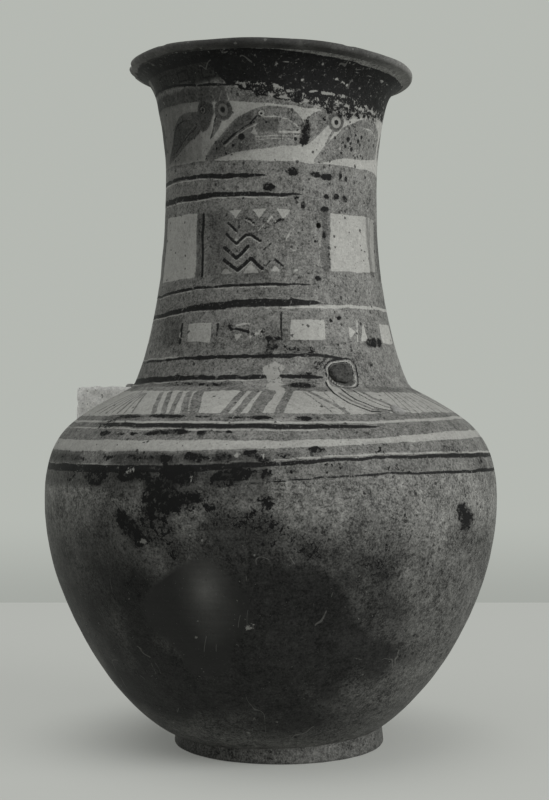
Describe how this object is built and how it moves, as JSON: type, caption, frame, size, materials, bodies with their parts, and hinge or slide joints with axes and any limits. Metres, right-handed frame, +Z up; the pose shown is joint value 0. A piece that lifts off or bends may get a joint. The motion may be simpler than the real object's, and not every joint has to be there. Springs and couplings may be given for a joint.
{
  "type": "pottery jar",
  "caption": "Tall-necked pottery jar with a round belly, low foot ring, turned-out rim and the stump of a broken handle.",
  "frame": {"origin": "centre of the jar on the surface it stands on, under the middle of its belly", "axes": "+Z up to the mouth, -Y towards the front, +X to the right seen from the front"},
  "size_m": [0.2688, 0.2688, 0.4029],
  "materials": {
    "burnished_clay": "burnished bare clay with dark firing clouds",
    "painted_slip": "matt grey slip with dark and pale painted bands",
    "pale_slip": "worn matt pale slip",
    "bare_pale_clay": "rough bare pale clay",
    "broken_clay": "rough dark broken clay"
  },
  "bodies": {
    "root": {"foot_ring": "burnished_clay", "base_disc": "burnished_clay", "lower_wall": "burnished_clay", "belly_wall": "burnished_clay", "shoulder_wall": "painted_slip", "neck_wall": "painted_slip", "rim_flare": "painted_slip", "lip_coil": "pale_slip", "handle_stump": "bare_pale_clay", "stump_nub": "bare_pale_clay", "neck_handle_scar": "broken_clay", "shoulder_handle_scar": "bare_pale_clay"}
  },
  "joints": []
}
